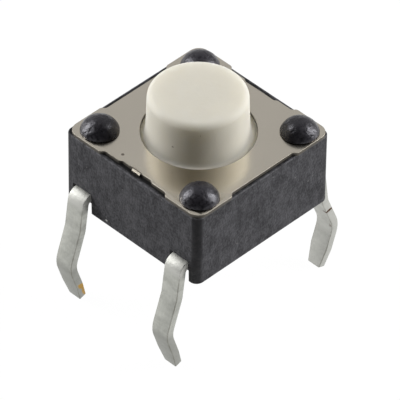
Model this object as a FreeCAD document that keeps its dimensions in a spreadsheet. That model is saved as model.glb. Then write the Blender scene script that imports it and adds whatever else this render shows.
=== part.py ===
import FreeCAD, Part
import math
import os
import Sketcher
from FreeCAD import Vector

# Tactile switch with four legs, in millimetres.
# Frame: +Z up, origin at the centre of the housing's underside, which sits on the board.
# The legs leave the housing through its -X and +X sides.

SIZES = [
    ("housing_side", 6.0, "width of the square housing"),
    ("housing_height", 2.77, "seat to the face under the cover"),
    ("housing_corner", 0.28, "radius of the upright corners"),
    ("rim_round", 0.04, "rounding of the housing's top outer edge"),
    ("well_wall", 0.6, "wall between the flange's well and the middle of a side"),
    ("ledge_width", 0.32, "ledge round the dome's seat, in the floor of the flange's well"),
    ("floor_level", 0.79, "contact floor, level with the top of the strips"),
    ("ledge_height", 0.5, "wall round the dome, above the floor"),
    ("post_inset", 0.75, "middle of each staking post in from both sides"),
    ("post_radius", 0.45, "staking post"),
    ("head_radius", 0.64, "melted head of a post"),
    ("head_height", 0.5, "melted head above the cover"),
    ("head_shift", 0.09, "heads toward -Y, as the staking tool left them"),
    ("notch_depth", 0.35, "leg notch into the side wall"),
    ("notch_gap", 0.07, "free width each side of a leg at the notch's top"),
    ("frame_lean", 0.85, "share of that gap by which the legs lie toward -Y"),
    ("notch_flare", 0.02, "widening of each notch side down to the seat"),
    ("notch_headroom", 0.02, "free height over a leg in its notch"),
    ("mark_radius", 0.4, "ejector pin mark in the underside"),
    ("mark_depth", 0.05, "depth of a pin mark"),
    ("mark_inset", 1.5, "middle of each pin mark in from both sides"),
    ("cover_thickness", 0.12, "steel sheet of the cover"),
    ("cover_inset", 0.03, "cover edge inside the housing's side"),
    ("cover_corner", 0.4, "radius of the cover's corners"),
    ("post_hole_gap", 0.08, "free width round a post in the cover"),
    ("cover_lean", 0.6, "share of that gap by which the cover lies toward -Y"),
    ("edge_land", 1.495, "straight edge of the cover at each side of an edge notch"),
    ("edge_notch_depth", 0.19, "depth of an edge notch"),
    ("edge_notch_slant", 0.12, "slanted end of an edge notch"),
    ("edge_notch_round", 0.09, "rounding of an edge notch's corners, in plan"),
    ("relief_length", 1.2, "deeper middle of the two edges that held the tie bar"),
    ("relief_depth", 0.045, "extra depth of that middle"),
    ("tie_width", 0.36, "sheared stub of the tie bar"),
    ("tie_setback", 0.12, "stub end inside the cover edge"),
    ("overall_height", 4.45, "seat to the plunger's top"),
    ("flange_step", 0.625, "flange beyond the plunger's stem"),
    ("plunger_taper", 0.04, "plunger's loss of radius up to its top"),
    ("plunger_edge", 0.22, "rounding of the plunger's top edge"),
    ("plunger_root", 0.19, "hollow rounding between the stem and its flange"),
    ("plunger_gap", 0.2, "free width round the plunger in the cover"),
    ("flange_gap", 0.1, "free width round the flange in the well"),
    ("flange_thickness", 0.5, "plunger flange"),
    ("flange_edge", 0.05, "rounding of the flange's upper rim; the mould parts at the lower one"),
    ("flange_play", 0.02, "flange under the cover at rest"),
    ("boss_radius", 1.1, "boss under the flange"),
    ("boss_lift", 0.3, "boss above the resting dome"),
    ("nub_radius", 0.4, "nub that presses the dome"),
    ("nub_edge", 0.08, "rounding of the nub"),
    ("nub_play", 0.02, "nub above the resting dome"),
    ("travel", 0.25, "plunger stroke"),
    ("dome_rise", 0.42, "floor to the top of the dome"),
    ("dome_sheet", 0.06, "sheet of the dome"),
    ("dome_gap", 0.08, "free width round the dome"),
    ("strip_thickness", 0.28, "sheet of the contact frames"),
    ("strip_width", 0.7, "leg and strip width"),
    ("row_inset", 0.79, "middle line of each frame in from the housing's side"),
    ("leg_root", 0.5, "leg's start inside the side wall"),
    ("shoulder_out", 0.27, "middle of the sheet at the shoulder corner, from the wall"),
    ("splay_out", 0.4, "the same where the leg starts to splay"),
    ("splay_depth", 0.6, "start of the splay below the seat"),
    ("kink_out", 0.83, "middle of the sheet at the kink, from the wall"),
    ("kink_depth", 1.93, "kink below the seat"),
    ("tip_out", 0.315, "middle of the sheet at the tip, from the wall"),
    ("tip_depth", 3.53, "leg tip below the seat"),
    ("shoulder_bend", 0.26, "bend radius of the shoulder, middle of the sheet"),
    ("splay_bend", 0.9, "bend radius at the start of the splay"),
    ("kink_bend", 0.54, "bend radius of the kink"),
    ("tip_cut_length", 0.7, "cut corner of a leg tip, along the leg"),
    ("tip_cut_width", 0.1, "cut corner of a leg tip, across the leg"),
    ("tongue_width", 0.9, "tongue that carries the centre contact"),
    ("pad_radius", 0.35, "raised centre contact"),
    ("contact_gap", 0.015, "centre contact under the dome at full stroke"),
    ("arm_width", 0.5, "arm that lies under the dome's rim"),
    ("arm_inset", 0.05, "arm's outer side inside the dome's rim"),
    ("arm_reach", 1.2, "arm's end beyond the middle"),
]

WALL = "dims.housing_side / 2"
HALF_PITCH = "(%s - dims.row_inset)" % WALL
POST_OFFSET = "(%s - dims.post_inset)" % WALL
MARK_OFFSET = "(%s - dims.mark_inset)" % WALL
WELL = "(%s - dims.well_wall)" % WALL
FLANGE = "(%s - dims.flange_gap)" % WELL
STEM = "(%s - dims.flange_step)" % FLANGE
DOME_WELL = "(%s - dims.ledge_width)" % WELL
DOME_RIM = "(%s - dims.dome_gap)" % DOME_WELL
LEG_EDGE = "dims.strip_width / 2"


def make_sheet(doc):
    """The table of driving sizes: note, value and alias in each row."""
    sheet = doc.addObject("Spreadsheet::Sheet", "dims")
    for row, (alias, size, note) in enumerate(SIZES, start=1):
        sheet.set("A%d" % row, note)
        sheet.set("B%d" % row, str(size))
        sheet.setAlias("B%d" % row, alias)
    doc.recompute()
    return sheet


# Sketch helpers

def plane(body, role):
    """One of the body's own origin planes or axes."""
    return next(item for item in body.Origin.OriginFeatures if item.Role == role)


def sketch_on(body, name, role, lift=None, aside=None):
    """A sketch on an origin plane, moved along its normal and along its own X axis."""
    sketch = body.newObject("Sketcher::SketchObject", name)
    sketch.AttachmentSupport = [(plane(body, role), "")]
    sketch.MapMode = "FlatFace"
    if lift:
        sketch.setExpression("AttachmentOffset.Base.z", lift)
    if aside:
        sketch.setExpression("AttachmentOffset.Base.x", aside)
    return sketch


def bind(sketch, kind, references, formula):
    """A dimension of the sketch, driven by a formula of the sheet."""
    index = sketch.addConstraint(
        Sketcher.Constraint(kind, *references, sheet_value(sketch, formula)))
    sketch.setExpression("Constraints[%d]" % index, formula)


def pin(sketch, geometry, position, point):
    """Fix one vertex at a pair of formulas; zero puts it on the sketch's axis."""
    for kind, axis, formula in (("DistanceX", -2, point[0]), ("DistanceY", -1, point[1])):
        if formula == "0":
            sketch.addConstraint(Sketcher.Constraint("PointOnObject", geometry, position, axis))
        else:
            bind(sketch, kind, (-1, 1, geometry, position), formula)


def sheet_value(sketch, formula):
    """The present value of a formula."""
    return float(sketch.evalExpression(formula))


def spot(sketch, point):
    """The present place of a pair of formulas."""
    return Vector(*(sheet_value(sketch, formula) for formula in point), 0)


def polygon(sketch, points):
    """A closed outline of straight lines through pairs of formulas."""
    spots = [spot(sketch, point) for point in points]
    count = len(points)
    lines = [sketch.addGeometry(Part.LineSegment(spots[i], spots[(i + 1) % count]), False)
             for i in range(count)]
    for i, line in enumerate(lines):
        sketch.addConstraint(Sketcher.Constraint("Coincident", lines[i - 1], 2, line, 1))
        pin(sketch, line, 1, points[i])
    return lines


def rectangle(sketch, left, right, bottom, top):
    """A closed rectangle between four formulas."""
    return polygon(sketch, [(left, bottom), (right, bottom), (right, top), (left, top)])


def square(sketch, half):
    """A square round the sketch's origin."""
    return rectangle(sketch, "-(%s)" % half, half, "-(%s)" % half, half)


def circle(sketch, centre, radius):
    """A circle at a pair of formulas."""
    shape = Part.Circle(spot(sketch, centre), Vector(0, 0, 1), sheet_value(sketch, radius))
    ring = sketch.addGeometry(shape, False)
    pin(sketch, ring, 3, centre)
    bind(sketch, "Radius", (ring,), radius)
    return ring


def cap_arc(sketch, foot, top):
    """An arc from a foot point up to the sketch's vertical axis, centred on that axis."""
    start = spot(sketch, foot)
    end = spot(sketch, top)
    rise = end.y - start.y
    radius = (start.x ** 2 + rise ** 2) / (2 * rise)
    centre = Vector(0, end.y - radius, 0)
    first = math.atan2(start.y - centre.y, start.x)
    ring = Part.Circle(centre, Vector(0, 0, 1), radius)
    arc = sketch.addGeometry(Part.ArcOfCircle(ring, first, math.pi / 2), False)
    pin(sketch, arc, 1, foot)
    pin(sketch, arc, 2, top)
    sketch.addConstraint(Sketcher.Constraint("PointOnObject", arc, 3, -2))
    return arc


def line_between(sketch, first, first_end, second, second_end):
    """A line that closes the gap between the ends of two drawn curves."""
    start = sketch.getPoint(first, first_end)
    end = sketch.getPoint(second, second_end)
    line = sketch.addGeometry(Part.LineSegment(start, end), False)
    sketch.addConstraint(Sketcher.Constraint("Coincident", line, 1, first, first_end))
    sketch.addConstraint(Sketcher.Constraint("Coincident", line, 2, second, second_end))
    return line


def bent_path(sketch, corners, bends):
    """An open run of lines through the corners, with a tangent arc at each inner corner."""
    spots = [spot(sketch, corner) for corner in corners]
    starts = [spots[0]]
    ends = []
    arcs = []
    for i, bend in enumerate(bends, start=1):
        before = (spots[i] - spots[i - 1]).normalize()
        after = (spots[i + 1] - spots[i]).normalize()
        turn = before.x * after.y - before.y * after.x
        angle = before.getAngle(after)
        radius = sheet_value(sketch, bend)
        back_off = radius * math.tan(angle / 2)
        ends.append(spots[i] - before * back_off)
        starts.append(spots[i] + after * back_off)
        side = math.copysign(1, turn)
        centre = ends[-1] + Vector(-before.y, before.x, 0) * (side * radius)
        arcs.append((centre, radius, side))
    ends.append(spots[-1])
    lines = [sketch.addGeometry(Part.LineSegment(a, b), False) for a, b in zip(starts, ends)]
    for i, (centre, radius, side) in enumerate(arcs):
        spokes = [ends[i] - centre, starts[i + 1] - centre]
        first, last = (math.atan2(spoke.y, spoke.x) for spoke in spokes[::int(side)])
        ring = Part.Circle(centre, Vector(0, 0, 1), radius)
        arc = sketch.addGeometry(Part.ArcOfCircle(ring, first, last), False)
        near, far = (1, 2) if side > 0 else (2, 1)
        sketch.addConstraint(Sketcher.Constraint("Tangent", lines[i], 2, arc, near))
        sketch.addConstraint(Sketcher.Constraint("Tangent", arc, far, lines[i + 1], 1))
        bind(sketch, "Radius", (arc,), bends[i])
        mark = sketch.addGeometry(Part.Point(spots[i + 1]), True)
        pin(sketch, mark, 1, corners[i + 1])
        sketch.addConstraint(Sketcher.Constraint("PointOnObject", mark, 1, lines[i]))
        sketch.addConstraint(Sketcher.Constraint("PointOnObject", mark, 1, lines[i + 1]))
    pin(sketch, lines[0], 1, corners[0])
    pin(sketch, lines[-1], 2, corners[-1])


# Feature helpers

def finish_feature(feature):
    """Recompute, so that the next feature can read this one's shape."""
    feature.Document.recompute()
    return feature


def pad(body, name, sketch, length, down=False):
    """A pad along the sketch's normal, or against it when it goes down."""
    feature = body.newObject("PartDesign::Pad", name)
    feature.Profile = sketch
    feature.Reversed = down
    feature.setExpression("Length", length)
    return finish_feature(feature)


def pocket(body, name, sketch, length, reverse=False):
    """A pocket against the sketch's normal, or along it when reversed; it has to cut."""
    before = body.Shape.Volume
    feature = body.newObject("PartDesign::Pocket", name)
    feature.Profile = sketch
    feature.Reversed = reverse
    feature.setExpression("Length", length)
    finish_feature(feature)
    if feature.Shape.Volume >= before:
        raise RuntimeError("%s cut nothing" % name)
    return feature


def revolve(body, name, sketch):
    """A full turn about the sketch's own vertical axis."""
    feature = body.newObject("PartDesign::Revolution", name)
    feature.Profile = sketch
    feature.ReferenceAxis = (sketch, ["V_Axis"])
    feature.Angle = 360
    return finish_feature(feature)


def rounded(body, name, base, radius, wanted):
    """A fillet on the edges of the base feature for which wanted(edge) is true."""
    names = ["Edge%d" % (i + 1) for i, edge in enumerate(base.Shape.Edges) if wanted(edge)]
    feature = body.newObject("PartDesign::Fillet", name)
    feature.Base = (base, names)
    feature.setExpression("Radius", radius)
    return finish_feature(feature)


def four_round(body, name, feature):
    """The feature at each quarter turn about Z."""
    pattern = body.newObject("PartDesign::PolarPattern", name)
    pattern.Originals = [feature]
    pattern.Axis = (plane(body, "Z_Axis"), [""])
    pattern.Angle = 360
    pattern.Occurrences = 4
    body.Tip = pattern
    return finish_feature(pattern)


def mirrored(body, name, features):
    """The features on the other side of the YZ plane too."""
    copy = body.newObject("PartDesign::Mirrored", name)
    copy.Originals = features
    copy.MirrorPlane = (plane(body, "YZ_Plane"), [""])
    body.Tip = copy
    return finish_feature(copy)


def new_body(doc, label):
    """An empty body that carries its sub-part's name."""
    body = doc.addObject("PartDesign::Body", label)
    body.Label = label
    return body


def is_upright(edge):
    """True for a straight edge along Z."""
    return len(edge.Vertexes) == 2 and abs(abs(edge.tangentAt(edge.FirstParameter).z) - 1) < 1e-6


def lies_at(edge, level):
    """True for an edge whose whole length is at one height."""
    box = edge.BoundBox
    return abs(box.ZMin - level) < 1e-4 and abs(box.ZMax - level) < 1e-4


# Housing

def make_housing_blank(doc, sheet):
    """The moulded housing before the contact frames are taken out of it."""
    body = new_body(doc, "housing_blank")
    outline = sketch_on(body, "housing_outline", "XY_Plane")
    square(outline, WALL)
    block = pad(body, "housing_block", outline, "dims.housing_height")
    corners = rounded(body, "housing_corners", block, "dims.housing_corner", is_upright)
    rounded(body, "housing_rim", corners, "dims.rim_round",
            lambda edge: lies_at(edge, sheet.housing_height))
    add_wells(body)
    add_leg_notches(body)
    add_pin_marks(body)
    add_posts(body)
    return body


def add_wells(body):
    """The flange's well, and below its ledge the round seat of the dome."""
    flange_well = sketch_on(body, "flange_well_outline", "XY_Plane", "dims.housing_height")
    circle(flange_well, ("0", "0"), WELL)
    pocket(body, "flange_well", flange_well,
           "dims.housing_height - dims.floor_level - dims.ledge_height")
    dome_well = sketch_on(body, "dome_well_outline", "XY_Plane", "dims.housing_height")
    circle(dome_well, ("0", "0"), DOME_WELL)
    pocket(body, "dome_well", dome_well, "dims.housing_height - dims.floor_level")


def add_leg_notches(body):
    """Flared notches under the legs, open at the seat, on the +X side and then mirrored."""
    outline = sketch_on(body, "notch_outline", "YZ_Plane", WALL)
    top = "dims.floor_level + dims.notch_headroom"
    for side in (-1, 1):
        middle = "%d * %s" % (side, HALF_PITCH)
        upper = "(%s + dims.notch_gap)" % LEG_EDGE
        lower = "(%s + dims.notch_gap + dims.notch_flare)" % LEG_EDGE
        polygon(outline, [("%s - %s" % (middle, lower), "0"), ("%s + %s" % (middle, lower), "0"),
                          ("%s + %s" % (middle, upper), top), ("%s - %s" % (middle, upper), top)])
    notches = pocket(body, "leg_notches", outline, "dims.notch_depth")
    mirrored(body, "leg_notches_mirrored", [notches])


def add_pin_marks(body):
    """Shallow round marks of the mould's ejector pins in the underside."""
    outline = sketch_on(body, "pin_mark_outline", "XY_Plane")
    circle(outline, (MARK_OFFSET, MARK_OFFSET), "dims.mark_radius")
    mark = pocket(body, "pin_mark", outline, "dims.mark_depth", reverse=True)
    four_round(body, "pin_marks", mark)


def add_posts(body):
    """Four posts through the cover, each with its melted head on the cover."""
    outline = sketch_on(body, "post_outline", "XY_Plane", "dims.housing_height")
    circle(outline, (POST_OFFSET, POST_OFFSET), "dims.post_radius")
    post = pad(body, "post", outline, "dims.cover_thickness")
    four_round(body, "posts", post)
    base = "dims.housing_height + dims.cover_thickness"
    for corner, (side_x, side_y) in enumerate(((1, 1), (-1, 1), (-1, -1), (1, -1)), start=1):
        head = sketch_on(body, "head_outline_%d" % corner, "XZ_Plane",
                         "dims.head_shift - %d * %s" % (side_y, POST_OFFSET),
                         "%d * %s" % (side_x, POST_OFFSET))
        dome = cap_arc(head, ("dims.head_radius", base), ("0", base + " + dims.head_height"))
        middle = head.addGeometry(Part.LineSegment(head.getPoint(dome, 2), spot(head, ("0", base))),
                                  False)
        head.addConstraint(Sketcher.Constraint("Coincident", middle, 1, dome, 2))
        pin(head, middle, 2, ("0", base))
        line_between(head, middle, 2, dome, 1)
        revolve(body, "head_%d" % corner, head)


# Cover plate

def make_cover(doc):
    """Flat stamped plate, with its underside on the housing."""
    body = new_body(doc, "cover_plate")
    half = WALL + " - dims.cover_inset"
    outline = sketch_on(body, "cover_outline", "XY_Plane")
    square(outline, half)
    sheet_metal = pad(body, "cover_sheet", outline, "dims.cover_thickness")
    rounded(body, "cover_corners", sheet_metal, "dims.cover_corner", is_upright)
    hole = sketch_on(body, "plunger_hole_outline", "XY_Plane")
    circle(hole, ("0", "0"), STEM + " + dims.plunger_gap")
    pocket(body, "plunger_hole", hole, "dims.cover_thickness", reverse=True)
    post_hole = sketch_on(body, "post_hole_outline", "XY_Plane")
    circle(post_hole, (POST_OFFSET, POST_OFFSET), "dims.post_radius + dims.post_hole_gap")
    holes = pocket(body, "post_hole", post_hole, "dims.cover_thickness", reverse=True)
    four_round(body, "post_holes", holes)
    add_edge_notches(body, half)
    body.setExpression("Placement.Base.y", "-dims.post_hole_gap * dims.cover_lean")
    body.setExpression("Placement.Base.z", "dims.housing_height")
    return body


def add_edge_notches(body, half):
    """A long shallow notch in each edge; the -X and +X ones keep the stub of the tie bar."""
    notch = sketch_on(body, "edge_notch_outline", "XY_Plane")
    mouth = half + " - dims.edge_land"
    floor = mouth + " - dims.edge_notch_slant"
    inner = half + " - dims.edge_notch_depth"
    polygon(notch, [(half, "-(%s)" % mouth), (half, mouth), (inner, floor),
                    (inner, "-(%s)" % floor)])
    cut = pocket(body, "edge_notch", notch, "dims.cover_thickness", reverse=True)
    notches = four_round(body, "edge_notches", cut)
    mouth_end = sheet_value(notch, mouth) + 1e-4
    floor_line = sheet_value(notch, inner) - 1e-4

    def on_notch(edge):
        near, far = sorted((abs(edge.CenterOfMass.x), abs(edge.CenterOfMass.y)))
        return is_upright(edge) and near < mouth_end and far > floor_line

    rounded(body, "edge_notch_corners", notches, "dims.edge_notch_round", on_notch)
    relief = sketch_on(body, "relief_outline", "XY_Plane")
    rectangle(relief, inner + " - dims.relief_depth", inner,
              "-dims.relief_length / 2", "dims.relief_length / 2")
    deeper = pocket(body, "relief", relief, "dims.cover_thickness", reverse=True)
    mirrored(body, "reliefs", [deeper])
    stub = sketch_on(body, "tie_stub_outline", "XY_Plane")
    rectangle(stub, inner + " - 2 * dims.relief_depth", half + " - dims.tie_setback",
              "-dims.tie_width / 2", "dims.tie_width / 2")
    tie = pad(body, "tie_stub", stub, "dims.cover_thickness")
    mirrored(body, "tie_stubs", [tie])


# Plunger

def make_plunger(doc, sheet):
    """Turned form: slightly tapered stem, flange held under the cover, boss and nub."""
    body = new_body(doc, "plunger")
    profile = sketch_on(body, "plunger_profile", "XZ_Plane")
    top = "dims.overall_height"
    flange_top = "dims.housing_height - dims.flange_play"
    flange_bottom = flange_top + " - dims.flange_thickness"
    dome_top = "dims.floor_level + dims.dome_rise"
    boss_bottom = dome_top + " + dims.boss_lift"
    nub_bottom = dome_top + " + dims.nub_play"
    polygon(profile, [("0", top), ("0", nub_bottom),
                      ("dims.nub_radius", nub_bottom), ("dims.nub_radius", boss_bottom),
                      ("dims.boss_radius", boss_bottom), ("dims.boss_radius", flange_bottom),
                      (FLANGE, flange_bottom), (FLANGE, flange_top), (STEM, flange_top),
                      (STEM + " - dims.plunger_taper", top)])
    form = revolve(body, "plunger_form", profile)
    upper = rounded(body, "plunger_top_edge", form, "dims.plunger_edge",
                    lambda edge: lies_at(edge, sheet.overall_height))
    nub_level = sheet_value(profile, nub_bottom)
    nub = rounded(body, "nub_end", upper, "dims.nub_edge", lambda edge: lies_at(edge, nub_level))
    shelf = sheet_value(profile, flange_top)
    root_radius = sheet_value(profile, STEM) + 1e-4
    rim = rounded(body, "flange_rim", nub, "dims.flange_edge",
                  lambda edge: lies_at(edge, shelf) and edge.BoundBox.XMax > root_radius)
    rounded(body, "stem_root", rim, "dims.plunger_root",
            lambda edge: lies_at(edge, shelf) and edge.BoundBox.XMax < root_radius)
    return body


# Snap dome

def make_dome(doc):
    """Thin round dome of spring sheet, its rim on the contact floor."""
    body = new_body(doc, "snap_dome")
    profile = sketch_on(body, "dome_profile", "XZ_Plane")
    outer = cap_arc(profile, (DOME_RIM, "0"), ("0", "dims.dome_rise"))
    inner_top = "dims.dome_rise - dims.dome_sheet"
    outer_size = profile.Geometry[outer].Radius - sheet_value(profile, "dims.dome_sheet")
    depth = outer_size - sheet_value(profile, inner_top)
    rim = math.sqrt(outer_size ** 2 - depth ** 2)
    ring = Part.Circle(Vector(0, -depth, 0), Vector(0, 0, 1), outer_size)
    inner = profile.addGeometry(Part.ArcOfCircle(ring, math.atan2(depth, rim), math.pi / 2), False)
    profile.addConstraint(Sketcher.Constraint("Coincident", inner, 3, outer, 3))
    profile.addConstraint(Sketcher.Constraint("PointOnObject", inner, 1, -1))
    pin(profile, inner, 2, ("0", inner_top))
    line_between(profile, outer, 2, inner, 2)
    line_between(profile, inner, 1, outer, 1)
    revolve(body, "dome_form", profile)
    body.setExpression("Placement.Base.z", "dims.floor_level")
    return body


# Contact frames

def flat_piece(body, name, left, right, bottom, top):
    """A flat rectangle of the frame's sheet, its upper face level with the contact floor."""
    outline = sketch_on(body, name + "_outline", "XY_Plane", "dims.floor_level")
    rectangle(outline, left, right, bottom, top)
    return pad(body, name, outline, "dims.strip_thickness", down=True)


def start_frame(doc, label, side):
    """Strip along X through the housing with a bent leg at each end; side is +1 or -1 in Y."""
    body = new_body(doc, label)
    middle = "(%d * %s)" % (side, HALF_PITCH)
    root = WALL + " - dims.leg_root"
    flat_piece(body, label + "_strip", "-(%s)" % root, root,
               "%s - %s" % (middle, LEG_EDGE), "%s + %s" % (middle, LEG_EDGE))
    level = "dims.floor_level - dims.strip_thickness / 2"
    path = sketch_on(body, label + "_leg_path", "XZ_Plane", "%d * %s" % (-side, HALF_PITCH))
    bent_path(path,
              [(root, level),
               (WALL + " + dims.shoulder_out", level),
               (WALL + " + dims.splay_out", "-dims.splay_depth"),
               (WALL + " + dims.kink_out", "-dims.kink_depth"),
               (WALL + " + dims.tip_out", "-dims.tip_depth")],
              ["dims.shoulder_bend", "dims.splay_bend", "dims.kink_bend"])
    section = sketch_on(body, label + "_leg_section", "YZ_Plane", root)
    rectangle(section, "%s - %s" % (middle, LEG_EDGE), "%s + %s" % (middle, LEG_EDGE),
              "dims.floor_level - dims.strip_thickness", "dims.floor_level")
    leg = body.newObject("PartDesign::AdditivePipe", label + "_leg")
    leg.Profile = section
    leg.Spine = path
    finish_feature(leg)
    mirrored(body, label + "_legs", [leg])
    cut_tips(body, label, middle)
    body.setExpression("Placement.Base.y", "-dims.notch_gap * dims.frame_lean")
    return body


def cut_tips(body, label, middle):
    """The two cut corners of each leg tip, taken through both legs at once."""
    outline = sketch_on(body, label + "_tip_outline", "YZ_Plane", WALL + " + dims.kink_out")
    end = "-dims.tip_depth - dims.strip_thickness"
    slope = "dims.tip_cut_width / dims.tip_cut_length"
    run = "(dims.tip_cut_length + dims.strip_thickness)"
    for edge in (-1, 1):
        outer = "%s + %d * %s" % (middle, edge, LEG_EDGE)
        inner = "%s + %d * (%s - %s * %s)" % (middle, edge, LEG_EDGE, slope, run)
        polygon(outline, [(outer, "-dims.tip_depth + dims.tip_cut_length"), (outer, end),
                          (inner, end)])
    return pocket(body, label + "_tip_corners", outline, "dims.housing_side + 2 * dims.kink_out")


def make_centre_frame(doc):
    """Frame with the tongue and raised pad under the middle of the dome."""
    body = start_frame(doc, "contact_frame_centre", -1)
    flat_piece(body, "tongue", "-dims.tongue_width / 2", "dims.tongue_width / 2",
               "-(%s)" % HALF_PITCH, "0")
    end = sketch_on(body, "tongue_end_outline", "XY_Plane", "dims.floor_level")
    circle(end, ("0", "0"), "dims.tongue_width / 2")
    pad(body, "tongue_end", end, "dims.strip_thickness", down=True)
    raised = sketch_on(body, "pad_outline", "XY_Plane", "dims.floor_level")
    circle(raised, ("0", "0"), "dims.pad_radius")
    pad(body, "centre_pad", raised,
        "(dims.dome_rise - dims.dome_sheet) * (1 - dims.travel / dims.dome_rise)"
        " - dims.contact_gap")
    return body


def make_rim_frame(doc):
    """Frame with two arms that lie under the dome's rim."""
    body = start_frame(doc, "contact_frame_rim", 1)
    outer = DOME_RIM + " - dims.arm_inset"
    arm = flat_piece(body, "rim_arm", outer + " - dims.arm_width", outer, "-dims.arm_reach",
                     HALF_PITCH)
    mirrored(body, "rim_arms", [arm])
    return body


def make_housing(doc, blank, frames):
    """The housing moulded round both contact frames."""
    inserts = doc.addObject("Part::Compound", "frame_inserts")
    inserts.Links = frames
    housing = doc.addObject("Part::Cut", "housing_base")
    housing.Base = blank
    housing.Tool = inserts
    housing.Label = "housing_base"
    return finish_feature(housing)


def check(doc, parts):
    """Stop on a failed feature or a sub-part that is not one valid solid."""
    for item in doc.Objects:
        if "Invalid" in item.State or "Error" in item.State:
            raise RuntimeError("%s failed" % item.Name)
    for item in parts:
        shape = item.Shape
        if shape.isNull() or not shape.isValid() or len(shape.Solids) != 1:
            raise RuntimeError("%s is not one valid solid" % item.Label)


def main():
    """Build the six sub-parts and write each to its own file."""
    doc = FreeCAD.newDocument("tactile_switch")
    sheet = make_sheet(doc)
    frames = [make_rim_frame(doc), make_centre_frame(doc)]
    housing = make_housing(doc, make_housing_blank(doc, sheet), frames)
    parts = [housing, make_cover(doc), make_plunger(doc, sheet), make_dome(doc)] + frames
    doc.recompute()
    check(doc, parts)
    os.makedirs("parts", exist_ok=True)
    for item in parts:
        item.Shape.exportStep("parts/%s.step" % item.Label)
        print(item.Label, "volume %.4f mm3" % item.Shape.Volume)


main()
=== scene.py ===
import math
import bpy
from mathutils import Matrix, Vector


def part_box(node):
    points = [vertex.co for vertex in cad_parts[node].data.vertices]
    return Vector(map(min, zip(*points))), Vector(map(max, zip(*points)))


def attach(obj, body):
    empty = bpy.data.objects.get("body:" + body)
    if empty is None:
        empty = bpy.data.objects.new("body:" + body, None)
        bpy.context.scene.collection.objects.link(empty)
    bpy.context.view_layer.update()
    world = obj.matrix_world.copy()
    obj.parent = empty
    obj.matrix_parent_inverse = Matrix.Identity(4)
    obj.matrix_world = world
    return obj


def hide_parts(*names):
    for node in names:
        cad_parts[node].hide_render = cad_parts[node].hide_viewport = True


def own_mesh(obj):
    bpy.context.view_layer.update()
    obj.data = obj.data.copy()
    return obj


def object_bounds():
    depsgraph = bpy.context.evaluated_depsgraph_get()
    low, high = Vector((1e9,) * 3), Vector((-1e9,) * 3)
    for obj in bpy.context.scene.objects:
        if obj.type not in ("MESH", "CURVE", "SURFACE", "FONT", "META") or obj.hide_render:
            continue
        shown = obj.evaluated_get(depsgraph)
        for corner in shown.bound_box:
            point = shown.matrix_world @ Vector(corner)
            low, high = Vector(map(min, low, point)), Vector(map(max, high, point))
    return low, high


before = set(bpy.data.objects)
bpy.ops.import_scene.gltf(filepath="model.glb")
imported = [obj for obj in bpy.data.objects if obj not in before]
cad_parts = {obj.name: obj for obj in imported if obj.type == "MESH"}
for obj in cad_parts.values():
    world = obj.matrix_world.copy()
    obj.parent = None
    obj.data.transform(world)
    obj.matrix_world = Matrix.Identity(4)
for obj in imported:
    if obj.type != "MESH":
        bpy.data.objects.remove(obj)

import types

import bmesh
import bpy
from mathutils import Matrix, Vector, noise

bl_info = {
    "name": "Tactile switch",
    "version": (1, 0, 0),
    "blender": (4, 5, 0),
    "location": "3D View > Sidebar > Switch",
    "description": "Finished pieces of a four-legged tactile switch, round its packed frame",
    "category": "Object",
}

MM = 0.001
CAD_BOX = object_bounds()
FIXED_BODY = "switch_body"
MOVING_BODY = "button"

HOUSING_LOW, HOUSING_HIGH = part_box("housing_base")
COVER_LOW, COVER_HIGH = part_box("cover_plate")
PLUNGER_LOW, PLUNGER_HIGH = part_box("plunger")
DOME_LOW, DOME_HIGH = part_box("snap_dome")
RIM_LOW, RIM_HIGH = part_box("contact_frame_rim")
CENTRE_LOW, CENTRE_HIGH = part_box("contact_frame_centre")

# In millimetres: the contact floor under the dome, how far a cutter reaches past what it cuts,
# and the distance within which two points are one
FLOOR = DOME_LOW.z / MM
CLEAR = 0.5
SAME = 1e-4

# Angles: an edge that stays sharp, faces that count as one, and the facet of a bend
SHARP = math.radians(30)
FLAT = math.radians(0.1)
FACET = math.radians(7)
FEWEST_FACETS = 4

# A normal's share along an axis, for a face that looks that way and for one edge-on to it
FACING = 0.8
EDGE_ON = 0.3


# Settings that a user would change

def length(name, description, millimetres):
    """A length, given here in millimetres."""
    return bpy.props.FloatProperty(
        name=name, description=description, default=millimetres * MM, unit="LENGTH", precision=5)


def colour(name, description, *rgb):
    """A linear colour."""
    return bpy.props.FloatVectorProperty(
        name=name, description=description, default=rgb, subtype="COLOR", size=3,
        min=0.0, max=1.0)


def share(name, description, value):
    """A plain number from 0 to 1."""
    return bpy.props.FloatProperty(
        name=name, description=description, default=value, min=0.0, max=1.0, subtype="FACTOR")


def angle(name, description, degrees):
    """An angle, given here in degrees."""
    return bpy.props.FloatProperty(
        name=name, description=description, default=math.radians(degrees), subtype="ANGLE")


def number(name, description, value):
    """A plain number."""
    return bpy.props.FloatProperty(name=name, description=description, default=value)


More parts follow.
